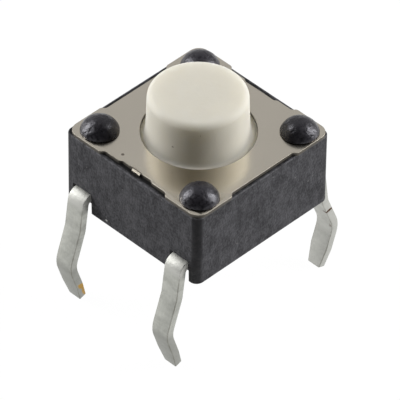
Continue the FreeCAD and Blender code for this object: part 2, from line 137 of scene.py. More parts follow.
class SwitchHousing(bpy.types.PropertyGroup):
    side: length("Side", "Width of the square housing", (HOUSING_HIGH.x - HOUSING_LOW.x) / MM)
    top: length("Top", "Height of the face under the cover", COVER_LOW.z / MM)
    corner: length("Corner", "Radius of the upright corners", 0.28)
    rim: length("Rim", "Rounding of the top outer edge", 0.04)
    lit_rim: length("Lit rim", "Margin of the top that grows paler outwards", 0.1)
    seat_edge: length("Seat edge", "Rounding of the bottom outer edge", 0.015)
    well: length("Well", "Radius of the well that the plunger's flange slides in", 2.4)
    ledge: length("Ledge", "Radius of the dome's seat inside the well", 2.08)
    ledge_height: length("Ledge height", "Wall round the dome, above the contact floor", 0.5)
    notch_depth: length("Notch depth", "Leg notch into the side wall", 0.35)
    notch_gap: length("Notch gap", "Free width each side of a leg at the notch's top", 0.07)
    notch_flare: length("Notch flare", "Widening of each notch side down to the seat", 0.02)
    row_inset: length("Row inset", "Middle of each leg notch in from the housing's side", 0.79)
    notch_headroom: length("Notch headroom", "Free height over a leg in its notch", 0.02)
    mark_radius: length("Pin mark", "Radius of an ejector pin mark in the underside", 0.4)
    mark_depth: length("Pin mark depth", "Depth of an ejector pin mark", 0.05)
    mark_offset: length("Pin mark offset", "Pin mark from the middle, in X and in Y", 1.5)
    dark: colour("Moulding", "Black moulding, darker patches", 0.014, 0.0135, 0.016)
    light: colour("Rubbed moulding", "Black moulding, paler patches", 0.088, 0.087, 0.096)
    # Painted shadow colour for the housing's top under the cover
    shadow_and_smudge: colour("Painted shadow", "Black moulding under the cover", 0.006, 0.006, 0.006)
    scratched: colour("Scratched rim", "Black moulding, rubbed edges", 0.3, 0.3, 0.32)


class SwitchHeads(bpy.types.PropertyGroup):
    post_offset: length("Post offset", "Each post from the middle, in X and in Y", 2.25)
    post: length("Post", "Radius of a post in its hole", 0.45)
    radius: length("Head radius", "Melted head of a post", 0.64)
    crown: length("Head top", "Height of the heads' tops", HOUSING_HIGH.z / MM)
    shift: length("Shift", "Heads toward -Y, as the staking tool left them", 0.09)
    rim: length("Rim", "Rounding under a head's rim", 0.05)
    unevenness: length("Unevenness", "How far the melted surface wanders", 0.012)
    melted: colour("Melted moulding", "Black moulding of the heads", 0.014, 0.0132, 0.016)


class SwitchCover(bpy.types.PropertyGroup):
    side: length("Side", "Width of the cover plate", (COVER_HIGH.x - COVER_LOW.x) / MM)
    thickness: length("Thickness", "Sheet of the cover", (COVER_HIGH.z - COVER_LOW.z) / MM)
    corner: length("Corner", "Radius of the plate's corners", 0.4)
    hole: length("Hole", "Radius of the plunger's hole", 1.875)
    post_hole: length("Post hole", "Radius of a hole for a staked post", 0.53)
    land: length("Land", "Straight edge at each side of an edge notch", 1.495)
    notch: length("Edge notch", "Depth of an edge notch", 0.14)
    slant: length("Slant", "Slanted end of an edge notch", 0.12)
    notch_round: length("Notch rounding", "Bevel of an edge notch's corners", 0.05)
    relief: length("Relief", "Length of the deeper middle of the two side notches", 1.5)
    relief_depth: length("Relief depth", "Extra depth of that middle", 0.075)
    tie: length("Tie stub", "Width of the sheared tie bar's stub", 0.36)
    tie_setback: length("Stub setback", "Stub end inside the plate's edge", 0.15)
    tie_droop: length("Stub droop", "How far shearing drew the stub's upper edge down", 0.06)
    die_roll: length("Die roll", "Rounding that the punch left along the upper edges", 0.016)
    steel: colour("Steel", "Rolled cover sheet", 0.73, 0.675, 0.58)
    # Cut steel's tone, darkened further as painted shade for the gaps along the cover's edges
    # and in its holes
    cut_edge_and_shadow: colour("Cut edge and shadow", "Steel where the punch broke it", 0.1, 0.09, 0.075)


class SwitchPlunger(bpy.types.PropertyGroup):
    top: length("Top", "Height of the plunger's top", PLUNGER_HIGH.z / MM)
    nub_end: length("Nub end", "Height of the nub's end at rest", PLUNGER_LOW.z / MM)
    flange: length("Flange", "Radius of the flange held under the cover", PLUNGER_HIGH.x / MM)
    flange_top: length("Flange top", "Height of the flange's upper face", 2.75)
    flange_thickness: length("Flange thickness", "Thickness of the flange", 0.5)
    flange_edge: length("Flange edge", "Rounding of the flange's upper rim", 0.05)
    stem: length("Stem", "Radius of the stem where it leaves the flange", 1.675)
    taper: length("Taper", "Stem's loss of radius up to its top", 0.04)
    root: length("Root", "Hollow rounding between the stem and its flange", 0.19)
    top_edge: length("Top edge", "Rounding of the top edge", 0.22)
    boss: length("Boss", "Radius of the boss under the flange", 1.1)
    boss_lift: length("Boss lift", "Boss above the nub's end", 0.28)
    nub: length("Nub", "Radius of the nub that presses the dome", 0.4)
    nub_edge: length("Nub edge", "Rounding of the nub", 0.08)
    ivory: colour("Ivory", "Moulded plunger", 0.64, 0.615, 0.54)
    shadow_and_smudge: colour("Smudged ivory", "Faint smudges on the plunger", 0.58, 0.55, 0.475)
    # Painted light: paler ivory at the foot of the stem, for the gap round it under the cover's
    # hole
    painted_light_at_foot: colour("Painted light at the foot", "Clean moulding at the foot of the stem", 0.84, 0.8, 0.69)
    depth: length("Light depth", "How far light spreads inside the plastic", 1.1)


class SwitchDome(bpy.types.PropertyGroup):
    radius: length("Radius", "Rim of the snap dome", DOME_HIGH.x / MM)
    foot: length("Foot", "Height of the dome's rim", DOME_LOW.z / MM)
    rise: length("Rise", "Dome's rim to its top", (DOME_HIGH.z - DOME_LOW.z) / MM)
    sheet: length("Sheet", "Spring sheet of the dome", 0.06)
    steel: colour("Spring steel", "Spring sheet", 0.7, 0.69, 0.66)


class SwitchFrames(bpy.types.PropertyGroup):
    thickness: length("Thickness", "Sheet of the contact frames", 0.28)
    width: length("Width", "Leg and strip width", 0.7)
    shoulder_out: length("Shoulder", "Middle of the sheet at the shoulder, from the wall", 0.2)
    splay_out: length("Splay", "The same where the leg starts to splay", 0.365)
    tuck: length("Tuck", "How much nearer the +X legs' shoulders are to the wall", 0.1)
    splay_depth: length("Splay depth", "Start of the splay below the seat", 0.6)
    kink_out: length("Kink", "Middle of the sheet at the kink, from the wall", 0.81)
    kink_depth: length("Kink depth", "Kink below the seat", 1.93)
    tip_out: length("Tip", "Middle of the sheet at the tip, from the wall", 0.28)
    tip_depth: length("Tip depth", "Leg tip below the seat", 3.53)
    shoulder_bend: length("Shoulder bend", "Bend radius of the shoulder", 0.26)
    splay_bend: length("Splay bend", "Bend radius at the start of the splay", 0.9)
    kink_bend: length("Kink bend", "Bend radius of the kink", 0.85)
    tip_cut_length: length("Tip cut length", "Cut corner of a tip, along the leg", 0.7)
    tip_cut_width: length("Tip cut width", "Cut corner of a tip, across the leg", 0.1)
    tongue: length("Tongue", "Width of the tongue under the dome's middle", 0.9)
    contact: length("Contact", "Radius of the raised centre contact", 0.35)
    contact_height: length("Contact height", "Raised centre contact above the floor", 0.13)
    arm_width: length("Arm width", "Arm that lies under the dome's rim", 0.5)
    arm_outer: length("Arm outer side", "Outer side of an arm, from the middle", 1.95)
    edge: length("Edge", "Rounding of the sheared edges", 0.028)
    tin: colour("Plating", "Dull plating of the legs", 0.45, 0.455, 0.42)
    # Painted light: paler plating for the +X legs, the strip's sides and the shoulders
    painted_light_tin: colour("Painted light on plating", "Plating where bending stretched it", 0.52, 0.52, 0.49)
    # Painted shade: the dark line along the edges between a leg's faces
    sheared: colour("Painted edge shade", "Dull edge between a leg's faces", 0.26, 0.255, 0.22)
    brass: colour("Brass", "Bare brass where the leg was cut off", 0.45, 0.28, 0.07)


class SwitchStage(bpy.types.PropertyGroup):
    azimuth: angle("Azimuth", "Camera's direction round the object", -45.318)
    elevation: angle("Elevation", "Camera's height above the horizon", 42.136)
    roll: angle("Roll", "Camera's turn about its own axis", 0.721)
    distance: length("Distance", "Camera from the origin, along the view", 181.135)
    focal: number("Focal length", "In pixels of the picture", 5626.6)
    origin_u: number("Origin across", "Pixel column that the origin falls on", 196.912)
    origin_v: number("Origin down", "Pixel row that the origin falls on", 196.809)
    lamp_distance: length("Lamp distance", "Lamps from the object", 90)
    left_azimuth: angle("Left lamp", "Direction of the left lamp", -150)
    right_azimuth: angle("Right lamp", "Direction of the right lamp", 50)
    side_elevation: angle("Side lamps", "Height of the side lamps above the horizon", 26)
    side_width: length("Side lamp width", "Width of a side lamp", 42)
    side_height: length("Side lamp height", "Height of a side lamp", 80)
    left_level: number("Left level", "Brightness of the left lamp's face", 8.2)
    right_level: number("Right level", "Brightness of the right lamp's face", 9)
    front_sky: number("Front sky", "Brightness of the surroundings behind the camera", 0.05)
    back_sky: number("Back sky", "Brightness of the surroundings behind the object", 0.5)
    floor: colour("Floor", "Pale floor", 0.2, 0.2, 0.2)
    floor_level: number("Floor level", "Brightness of the floor as the camera sees it", 1.12)
    floor_shadow: share("Shadow", "How much of the object's shadow the floor keeps", 0.12)


GROUPS = {
    "housing": SwitchHousing, "heads": SwitchHeads, "cover": SwitchCover,
    "plunger": SwitchPlunger, "dome": SwitchDome, "frames": SwitchFrames, "stage": SwitchStage,
}


class SwitchSettings(bpy.types.PropertyGroup):
    """All sizes and colours of the switch."""


def settings(context, name):
    """One group's values, with its lengths in millimetres."""
    group = getattr(context.scene.tactile_switch, name)
    values = {}
    for key in GROUPS[name].__annotations__:
        value = getattr(group, key)
        is_length = group.bl_rna.properties[key].unit == "LENGTH"
        values[key] = value / MM if is_length else value
    return types.SimpleNamespace(**values)


# Shapes, all in millimetres until a piece is finished

def only(geometry, kind):
    """The items of one kind in an operator's result."""
    return [item for item in geometry if isinstance(item, kind)]


def move(bm, offset):
    """Move the whole shape."""
    bmesh.ops.translate(bm, vec=offset, verts=bm.verts)


def turned(outline, steps):
    """A closed body turned about Z from an outline in the XZ plane.

    The outline starts at a point. Two numbers lead on to a point, and four round an arc: X and Z
    of its centre, its degrees from X towards Z, and its steps.
    """
    (x, z), *rest = outline
    bm = bmesh.new()
    vert = bm.verts.new((x, 0, z))
    for x, z, *arc in rest:
        if arc:
            made = bmesh.ops.spin(bm, geom=[vert], cent=(x, 0, z), axis=(0, -1, 0),
                                  angle=math.radians(arc[0]), steps=arc[1])
            vert = only(made["geom_last"], bmesh.types.BMVert)[0]
        else:
            vert = bmesh.ops.extrude_vert_indiv(bm, verts=[vert])["verts"][0]
            vert.co = (x, 0, z)
    bmesh.ops.spin(bm, geom=bm.verts[:] + bm.edges[:], cent=(0, 0, 0), axis=(0, 0, 1),
                   angle=2 * math.pi, steps=steps, use_merge=True)
    bmesh.ops.remove_doubles(bm, verts=bm.verts, dist=SAME)
    bmesh.ops.recalc_face_normals(bm, faces=bm.faces)
    return bm


def cap(radius, rise):
    """Radius of the ball that a domed cap is part of, and the cap's half angle in degrees."""
    ball = (radius ** 2 + rise ** 2) / (2 * rise)
    return ball, math.degrees(math.asin(radius / ball))


def add_prism(bm, corners, along):
    """A closed prism from a flat outline."""
    face = bm.faces.new([bm.verts.new(corner) for corner in corners])
    made = bmesh.ops.extrude_face_region(bm, geom=[face])["geom"]
    bmesh.ops.translate(bm, vec=along, verts=only(made, bmesh.types.BMVert))


def add_cylinder(bm, centre, radius, bottom, top, steps):
    """An upright cylinder."""
    place = Matrix.Translation((centre[0], centre[1], (bottom + top) / 2))
    bmesh.ops.create_cone(
        bm, cap_ends=True, segments=steps, radius1=radius, radius2=radius,
        depth=top - bottom, matrix=place)


def is_upright(edge):
    """True for an edge that runs along Z."""
    return (edge.verts[0].co - edge.verts[1].co).xy.length < SAME


def at_height(edge, level):
    """True for an edge that lies at one height."""
    return all(abs(vert.co.z - level) < SAME for vert in edge.verts)


def bevel(bm, edges, width, steps, clamp=False):
    """Round the edges, and give back the new faces."""
    return bmesh.ops.bevel(bm, geom=edges, offset=width, segments=steps, profile=0.5,
                           affect="EDGES", material=-1, clamp_overlap=clamp)["faces"]


def square_block(side, height, corner, steps):
    """A square block on the XY plane with round upright corners."""
    bm = bmesh.new()
    place = Matrix.Translation((0, 0, height / 2)) @ Matrix.Diagonal((side, side, height, 1))
    bmesh.ops.create_cube(bm, size=1, matrix=place)
    bevel(bm, [edge for edge in bm.edges if is_upright(edge)], corner, steps)
    return bm


def mesh_from(bm, name):
    """The shape as a mesh; the bmesh is used up."""
    mesh = bpy.data.meshes.new(name)
    bm.to_mesh(mesh)
    bm.free()
    return mesh


def add_object(name, data):
    """A new object in the scene."""
    made = bpy.data.objects.new(name, data)
    bpy.context.scene.collection.objects.link(made)
    return made


def join_into(bm, other):
    """Add another bmesh's shells to this one; the other is used up."""
    mesh = mesh_from(other, "shells")
    bm.from_mesh(mesh)
    bpy.data.meshes.remove(mesh)


def carved(bm, tools):
    """The body with the tools' shells cut out of it; both are used up."""
    for source in (bm, tools):
        bmesh.ops.recalc_face_normals(source, faces=source.faces)
    blank = add_object("blank", mesh_from(bm, "blank"))
    cutter = add_object("tools", mesh_from(tools, "tools"))
    modifier = blank.modifiers.new("carve", "BOOLEAN")
    modifier.object = cutter
    modifier.operation = "DIFFERENCE"
    modifier.solver = "EXACT"
    result = bmesh.new()
    result.from_object(blank, bpy.context.evaluated_depsgraph_get())
    for item in (blank, cutter):
        mesh = item.data
        bpy.data.objects.remove(item)
        bpy.data.meshes.remove(mesh)
    if not result.faces:
        raise RuntimeError("carving left nothing")
    bmesh.ops.remove_doubles(result, verts=result.verts, dist=SAME)
    bmesh.ops.dissolve_limit(result, angle_limit=FLAT, verts=result.verts, edges=result.edges)
    return result


def face_mark(bm, name):
    """The layer where faces carry a mark that the finishes read."""
    return bm.faces.layers.float.get(name) or bm.faces.layers.float.new(name)


def mark_cut(bm, is_cut):
    """Mark the faces that a punch cut, told by where they look."""
    layer = face_mark(bm, "cut")
    bm.normal_update()
    for face in bm.faces:
        face[layer] = float(is_cut(face.normal))


def break_edges(bm, width, steps, wanted=lambda edge: True):
    """Round the sharp outer edges, and mark the new faces as worn."""
    worn, cut = face_mark(bm, "worn"), face_mark(bm, "cut")
    bm.normal_update()
    edges = [e for e in bm.edges
             if e.is_manifold and e.is_convex and e.calc_face_angle() > SHARP and wanted(e)]
    if not edges:
        raise RuntimeError("no edge to round")
    for face in bevel(bm, edges, width, steps, clamp=True):
        face[worn] = 1.0
        face[cut] = 0.0


def finish_piece(bm, name, body, material, nodes=()):
    """Make the finished shape a piece that rides on a body and stands for CAD nodes."""
    bmesh.ops.recalc_face_normals(bm, faces=bm.faces)
    bmesh.ops.scale(bm, vec=(MM, MM, MM), verts=bm.verts)
    mesh = mesh_from(bm, name)
    mesh.shade_smooth()
    mesh.set_sharp_from_angle(angle=SHARP)
    mesh.materials.append(material)
    piece = add_object(name, mesh)
    flat = piece.modifiers.new("flat faces", "WEIGHTED_NORMAL")
    flat.keep_sharp = True
    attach(piece, body)
    if nodes:
        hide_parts(*nodes)
    return piece


# Contact frames

def with_rim(face):
    """A face with its edges and corners, so that extruding it leaves no face behind."""
    return [face, *face.edges, *face.verts]


def push_face(bm, face, offset):
    """Extrude an end face by an offset."""
    made = bmesh.ops.extrude_face_region(bm, geom=with_rim(face))["geom"]
    bmesh.ops.translate(bm, vec=offset, verts=only(made, bmesh.types.BMVert))
    return only(made, bmesh.types.BMFace)[0]


def press_leg(bm, face, corners, bends):
    """Carry the strip through its bends; corners are where its straight middle lines meet."""
    here = corners[0]
    for i, radius in enumerate(bends, start=1):
        before = (corners[i] - corners[i - 1]).normalized()
        after = (corners[i + 1] - corners[i]).normalized()
        turn = math.atan2(before.x * after.z - before.z * after.x, before.dot(after))
        back_off = radius * math.tan(abs(turn) / 2)
        start = corners[i] - before * back_off
        face = push_face(bm, face, start - here)
        across = Vector((-before.z, 0, before.x)) * math.copysign(radius, turn)
        made = bmesh.ops.spin(bm, geom=with_rim(face), cent=start + across, axis=(0, -1, 0),
                              angle=turn, steps=max(FEWEST_FACETS, round(abs(turn) / FACET)))
        face = only(made["geom_last"], bmesh.types.BMFace)[0]
        here = corners[i] + after * back_off
    return face, here


def half_frame(s, stops, tuck):
    """Half of a frame's strip and one leg, on the +X side, with its middle line at Y 0."""
    bm = bmesh.new()
    across, up = s.width / 2, s.thickness / 2
    face = bm.faces.new([bm.verts.new((0, y, s.level + z)) for y, z in (
        (-across, -up), (across, -up), (across, up), (-across, up))])
    here = 0
    for stop in stops:
        face = push_face(bm, face, (stop - here, 0, 0))
        here = stop
    corners = [Vector((x, 0, z)) for x, z in (
        (here, s.level), (s.wall + s.shoulder_out - tuck, s.level),
        (s.wall + s.splay_out - tuck, -s.splay_depth), (s.wall + s.kink_out, -s.kink_depth),
        (s.wall + s.tip_out, -s.tip_depth))]
    face, end = press_leg(bm, face, corners, (s.shoulder_bend, s.splay_bend, s.kink_bend))
    along = (corners[-1] - corners[-2]).normalized()
    face = push_face(bm, face, corners[-1] - along * s.tip_cut_length - end)
    face = push_face(bm, face, along * s.tip_cut_length)
    bmesh.ops.scale(bm, vec=(1, 1 - 2 * s.tip_cut_width / s.width, 1), verts=face.verts)
    return bm


def side_face(bm, side, near):
    """The face that looks along Y to one side and lies nearest to a point."""
    bmesh.ops.recalc_face_normals(bm, faces=bm.faces)
    return min((f for f in bm.faces if f.normal.y * side > FACING),
               key=lambda f: (f.calc_center_median() - Vector(near)).length)


def whole_frame(s, make_half, row):
    """Both halves of a frame, joined along its row; the +X legs were bent a little closer."""
    bm, other = make_half(s.tuck), make_half(0)
    bmesh.ops.scale(other, vec=(-1, 1, 1), verts=other.verts)
    join_into(bm, other)
    walls = [f for f in bm.faces if all(abs(vert.co.x) < SAME for vert in f.verts)]
    bmesh.ops.delete(bm, geom=walls, context="FACES")
    bmesh.ops.remove_doubles(bm, verts=bm.verts, dist=SAME)
    bmesh.ops.recalc_face_normals(bm, faces=bm.faces)
    move(bm, (0, row, 0))
    return bm


def rim_frame_shape(s):
    """Strip with two arms that lie under the dome's rim."""
    inner = s.arm_outer - s.arm_width
    reach = (RIM_HIGH.y - RIM_LOW.y) / MM

    def half(tuck):
        bm = half_frame(s, (inner, s.arm_outer), tuck)
        arm = side_face(bm, -1, ((inner + s.arm_outer) / 2, -s.width / 2, s.level))
        push_face(bm, arm, (0, s.width - reach, 0))
        return bm

    return whole_frame(s, half, RIM_HIGH.y / MM - s.width / 2)


def centre_frame_shape(s):
    """Strip with the round-ended tongue under the dome's middle."""
    reach = (CENTRE_HIGH.y - CENTRE_LOW.y) / MM

    def half(tuck):
        bm = half_frame(s, (s.tongue / 2,), tuck)
        tongue = side_face(bm, 1, (s.tongue / 4, s.width / 2, s.level))
        tongue = push_face(bm, tongue, (0, reach - s.width - s.tongue / 2, 0))
        push_face(bm, tongue, (0, s.tongue / 2, 0))
        return bm

    bm = whole_frame(s, half, CENTRE_LOW.y / MM + s.width / 2)
    ends = [e for e in bm.edges if is_upright(e) and all(
        v.co.y > CENTRE_HIGH.y / MM - SAME and abs(v.co.x) > s.tongue / 4 for v in e.verts)]
    # A little short of half the width, so that the two roundings don't meet
    almost = 0.98
    bevel(bm, ends, almost * s.tongue / 2, 12)
    return bm


def build_frames(context):
    s = settings(context, "frames")
    s.wall = settings(context, "housing").side / 2
    s.level = FLOOR - s.thickness / 2
    material = plated_brass(s)
    rim, centre = rim_frame_shape(s), centre_frame_shape(s)
    for shape in (rim, centre):
        mark_cut(shape, lambda normal: abs(normal.y) > FACING)
        break_edges(shape, s.edge, 3)
    contact = bmesh.new()
    add_cylinder(contact, (0, 0), s.contact, FLOOR - s.edge, FLOOR + s.contact_height, 48)
    break_edges(contact, s.edge, 3)
    join_into(centre, contact)
    finish_piece(rim, "rim_contact_frame", FIXED_BODY, material,
                 ["contact_frame_rim"])
    finish_piece(centre, "centre_contact_frame", FIXED_BODY, material,
                 ["contact_frame_centre"])


# Housing and staked heads

def add_notch_tools(bm, s, leg_width):
    """Flared leg notches, open at the seat, two in each side that the legs leave."""
    wall = s.side / 2
    upper = leg_width / 2 + s.notch_gap
    lower = upper + s.notch_flare
    top = FLOOR + s.notch_headroom
    for y in (s.row_inset - wall, wall - s.row_inset):
        outline = ((y - lower, -CLEAR), (y + lower, -CLEAR), (y + lower, 0), (y + upper, top),
                   (y - upper, top), (y - lower, 0))
        for side in (-1, 1):
            corners = [(side * (wall + CLEAR), across, up) for across, up in outline]
            add_prism(bm, corners, (-side * (s.notch_depth + CLEAR), 0, 0))


def build_housing(context):
    """Mould the block, with the dome's seat, a ledge and the flange's well one over another."""
    s = settings(context, "housing")
    blank = square_block(s.side, s.top, s.corner, 10)
    break_edges(blank, s.rim, 4, lambda edge: at_height(edge, s.top))
    break_edges(blank, s.seat_edge, 2, lambda edge: at_height(edge, 0))
    ledge_top = FLOOR + s.ledge_height
    over = s.top + CLEAR
    tools = turned(((0, FLOOR), (s.ledge, FLOOR), (s.ledge, ledge_top), (s.well, ledge_top),
                    (s.well, over), (0, over)), 128)
    add_notch_tools(tools, s, settings(context, "frames").width)
    for x in (-s.mark_offset, s.mark_offset):
        for y in (-s.mark_offset, s.mark_offset):
            add_cylinder(tools, (x, y), s.mark_radius, -CLEAR, s.mark_depth, 40)
    finish_piece(carved(blank, tools), "housing", FIXED_BODY,
                 black_moulding(s), ["housing_base"])


def build_heads(context):
    """Each post was melted over the cover, so its crinkles are its own."""
    s = settings(context, "heads")
    noise.seed_set(5)
    root, base = COVER_LOW.z / MM, COVER_HIGH.z / MM
    # In the noise: folds to the millimetre, and how far the heads' patches are from its middle
    folds, seed_step = 2.2, 7.3
    ball, swing = cap(s.radius, s.crown - base - s.rim)
    outline = ((0, root), (s.post, root), (s.post, base), (s.radius - s.rim, base),
               (s.radius - s.rim, base + s.rim, 90, 4), (0, s.crown - ball, swing, 20))
    material = melted_moulding(s)
    for name, side_x, side_y in (("front", -1, -1), ("left", -1, 1), ("right", 1, -1),
                                 ("back", 1, 1)):
        bm = turned(outline, 72)
        seed = Vector((side_x, side_y, 0)) * seed_step
        for vert in bm.verts:
            if vert.co.z > base + SAME:
                wander = noise.noise_vector(vert.co * folds + seed) * s.unevenness
                level = (vert.co.z - base) / (s.crown - base)
                vert.co += Vector((wander.x, wander.y, min(wander.z, 0) * level))
        move(bm, (side_x * s.post_offset, side_y * s.post_offset - s.shift, 0))
        finish_piece(bm, "staked_head_" + name, FIXED_BODY, material)


# Cover plate

def edge_notch(s, half, has_stub):
    """Outline of an edge notch's cutter on the +X edge; two of them leave the tie bar's stub."""
    mouth = half - s.land
    inner = half - s.notch
    upper = [(half + CLEAR, mouth), (half, mouth), (inner, mouth - s.slant)]
    if has_stub:
        deep = inner - s.relief_depth
        upper += [(inner, s.relief / 2), (deep, s.relief / 2 - s.slant), (deep, s.tie / 2),
                  (half - s.tie_setback, s.tie / 2)]
    return upper + [(x, -y) for x, y in reversed(upper)]


def round_notches(bm, s, half):
    """Round the upright corners of the edge notches."""
    corners = []
    for edge in bm.edges:
        near, far = sorted(abs(part) for part in edge.verts[0].co.xy)
        in_notch = s.relief / 2 + SAME < near < half - s.land + SAME
        if is_upright(edge) and in_notch and far > half - s.notch - SAME:
            corners.append(edge)
    bevel(bm, corners, s.notch_round, 4)


def droop_stubs(bm, s, half):
    """Draw down the upper edge of each sheared stub."""
    root = half - s.notch - s.relief_depth
    for side in (-1, 1):
        bmesh.ops.bisect_plane(bm, geom=bm.verts[:] + bm.edges[:] + bm.faces[:], dist=SAME,
                               plane_co=(side * root, 0, 0), plane_no=(1, 0, 0))
    for vert in bm.verts:
        on_stub = abs(vert.co.x) > root + SAME and abs(vert.co.y) < s.tie / 2 + SAME
        if on_stub and vert.co.z > s.thickness / 2:
            vert.co.z -= s.tie_droop


def build_cover(context):
    s = settings(context, "cover")
    offset = settings(context, "heads").post_offset
    half = s.side / 2
    sheet = square_block(s.side, s.thickness, s.corner, 8)
    tools = bmesh.new()
    add_cylinder(tools, (0, 0), s.hole, -CLEAR, CLEAR, 128)
    for quarter in range(4):
        turn = Matrix.Rotation(quarter * math.pi / 2, 3, "Z")
        add_cylinder(tools, turn @ Vector((offset, offset, 0)), s.post_hole, -CLEAR, CLEAR, 48)
        outline = edge_notch(s, half, quarter % 2 == 0)
        add_prism(tools, [turn @ Vector((x, y, -CLEAR)) for x, y in outline], (0, 0, 2 * CLEAR))
    cover = carved(sheet, tools)
    round_notches(cover, s, half)
    droop_stubs(cover, s, half)
    mark_cut(cover, lambda normal: abs(normal.z) < EDGE_ON)
    break_edges(cover, s.die_roll, 3, lambda edge: at_height(edge, s.thickness))
    move(cover, (0, (COVER_LOW.y + COVER_HIGH.y) / 2 / MM, COVER_LOW.z / MM))
    finish_piece(cover, "cover", FIXED_BODY, cover_steel(s), ["cover_plate"])


# Plunger and dome

def build_plunger(context):
    s = settings(context, "plunger")
    low = s.flange_top - s.flange_thickness
    boss_low = s.nub_end + s.boss_lift
    rim = s.stem - s.taper
    bm = turned((
        (0, s.nub_end), (s.nub - s.nub_edge, s.nub_end),
        (s.nub - s.nub_edge, s.nub_end + s.nub_edge, 90, 8),
        (s.nub, boss_low), (s.boss, boss_low), (s.boss, low), (s.flange, low),
        (s.flange, s.flange_top - s.flange_edge),
        (s.flange - s.flange_edge, s.flange_top - s.flange_edge, 90, 8),
        (s.stem + s.root, s.flange_top), (s.stem + s.root, s.flange_top + s.root, -90, 8),
        (rim, s.top - s.top_edge), (rim - s.top_edge, s.top - s.top_edge, 90, 12),
        (0, s.top)), 160)
    finish_piece(bm, "push_plunger", MOVING_BODY, ivory_moulding(s),
                 ["plunger"])


def build_dome(context):
    s = settings(context, "dome")
    ball, swing = cap(s.radius, s.rise)
    middle = s.rise - ball
    inner_swing = math.degrees(math.acos(-middle / (ball - s.sheet)))
    bm = turned(((0, s.rise - s.sheet), (0, middle, -inner_swing, 24), (s.radius, 0),
                 (0, middle, swing, 24)), 96)
    move(bm, (0, 0, s.foot))
    dome = finish_piece(bm, "spring_dome", FIXED_BODY, dome_steel(s),
                        ["snap_dome"])
    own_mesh(dome)


# Shader building

ORIGIN = (0.0, 0.0, 0.0)
EVEN = (1.0, 1.0, 1.0)


def feed(tree, socket, value):
    """Link a socket, or set its value."""
    if isinstance(value, bpy.types.NodeSocket):
        tree.links.new(value, socket)
    elif socket.type == "RGBA" and len(value) == 3:
        socket.default_value = (*value, 1)
    else:
        socket.default_value = value


def add_node(tree, kind, options=None, **inputs):
    """A node with its options and its named inputs set or linked."""
    made = tree.nodes.new("ShaderNode" + kind)
    for key, value in (options or {}).items():
        setattr(made, key, value)
    for key, value in inputs.items():
        feed(tree, made.inputs[key.replace("_", " ")], value)
    return made


def maths(tree, operation, *values, kind="Math", output=0):
    """An output of a Math node, or of a Vector Math node."""
    made = add_node(tree, kind, {"operation": operation})
    for socket, value in zip(made.inputs, values):
        feed(tree, socket, value)
    return made.outputs[output]


def vector_maths(tree, operation, *values, output=0):
    """An output of a Vector Math node: 0 is its vector, 1 its number."""
    return maths(tree, operation, *values, kind="VectorMath", output=output)


def spread(tree, value, low, high, to_low=0.0, to_high=1.0):
    """A value's range mapped smoothly onto another."""
    made = add_node(tree, "MapRange", {"interpolation_type": "SMOOTHSTEP"}, Value=value,
                    From_Min=low, From_Max=high, To_Min=to_low, To_Max=to_high)
    return made.outputs[0]


def emptied(owner, kind):
    """The node tree of a material or world without its nodes, and its new output's socket."""
    owner.use_nodes = True
    owner.node_tree.nodes.clear()
    sink = owner.node_tree.nodes.new("ShaderNodeOutput" + kind)
    return owner.node_tree, sink.inputs["Surface"]


def effect(name, inputs, build):
    """A shared effect that gives a mask, as a node group, built once."""
    tree = bpy.data.node_groups.get(name)
    if tree:
        return tree
    tree = bpy.data.node_groups.new(name, "ShaderNodeTree")
    for label, default in inputs:
        kind = "NodeSocketFloat" if isinstance(default, float) else "NodeSocketVector"
        socket = tree.interface.new_socket(name=label, in_out="INPUT", socket_type=kind)
        socket.default_value = default
    tree.interface.new_socket(name="Mask", in_out="OUTPUT", socket_type="NodeSocketFloat")
    source = tree.nodes.new("NodeGroupInput")
    sink = tree.nodes.new("NodeGroupOutput")
    tree.links.new(build(tree, source.outputs), sink.inputs[0])
    return tree


def mottle():
    """Soft patches of a given number to the millimetre along each axis, from 0 to 1."""
    def build(tree, given):
        stretched = vector_maths(tree, "MULTIPLY", given["Vector"], given["Per millimetre"])
        cloud = add_node(tree, "TexNoise", Vector=stretched, Scale=1.0, Detail=given["Detail"],
                         Roughness=0.55)
        half_width = maths(tree, "MULTIPLY", given["Softness"], 0.5)
        low = maths(tree, "SUBTRACT", 0.5, half_width)
        high = maths(tree, "ADD", 0.5, half_width)
        return spread(tree, cloud.outputs["Fac"], low, high)
    return effect("Mottle", (("Vector", ORIGIN), ("Per millimetre", EVEN), ("Detail", 3.0),
                             ("Softness", 0.4)), build)


def spot():
    """A small mark with an uneven outline round a point."""
    def build(tree, given):
        away = vector_maths(tree, "SUBTRACT", given["Vector"], given["Centre"])
        flat = add_node(tree, "VectorRotate", {"rotation_type": "Y_AXIS"}, Vector=away,
                        Angle=given["Tilt"])
        shaped = vector_maths(tree, "DIVIDE", flat.outputs[0], given["Half size"])
        cloud = add_node(tree, "TexNoise", Vector=shaped, Scale=1.3, Detail=2.0)
        ragged, blur = 0.9, 0.15
        wobble = maths(tree, "MULTIPLY_ADD", cloud.outputs["Fac"], ragged, -ragged / 2)
        far = maths(tree, "ADD", vector_maths(tree, "LENGTH", shaped, output=1), wobble)
        return spread(tree, far, 1 + blur, 1 - blur)
    return effect("Spot", (("Vector", ORIGIN), ("Centre", ORIGIN), ("Half size", EVEN),
                           ("Tilt", 0.0)), build)


def dust():
    """Sparse specks of a given number to the millimetre."""
    def build(tree, given):
        cells = add_node(tree, "TexVoronoi", Vector=given["Vector"],
                         Scale=given["Per millimetre"], Randomness=1.0)
        pick = add_node(tree, "SeparateColor", Color=cells.outputs["Color"])
        rare = maths(tree, "LESS_THAN", pick.outputs["Red"], given["Share"])
        size = maths(tree, "MULTIPLY", pick.outputs["Green"], given["Size"])
        near = maths(tree, "LESS_THAN", cells.outputs["Distance"], size)
        return maths(tree, "MULTIPLY", rare, near)
    return effect("Dust", (("Vector", ORIGIN), ("Per millimetre", 6.0), ("Share", 0.2),
                           ("Size", 0.2)), build)


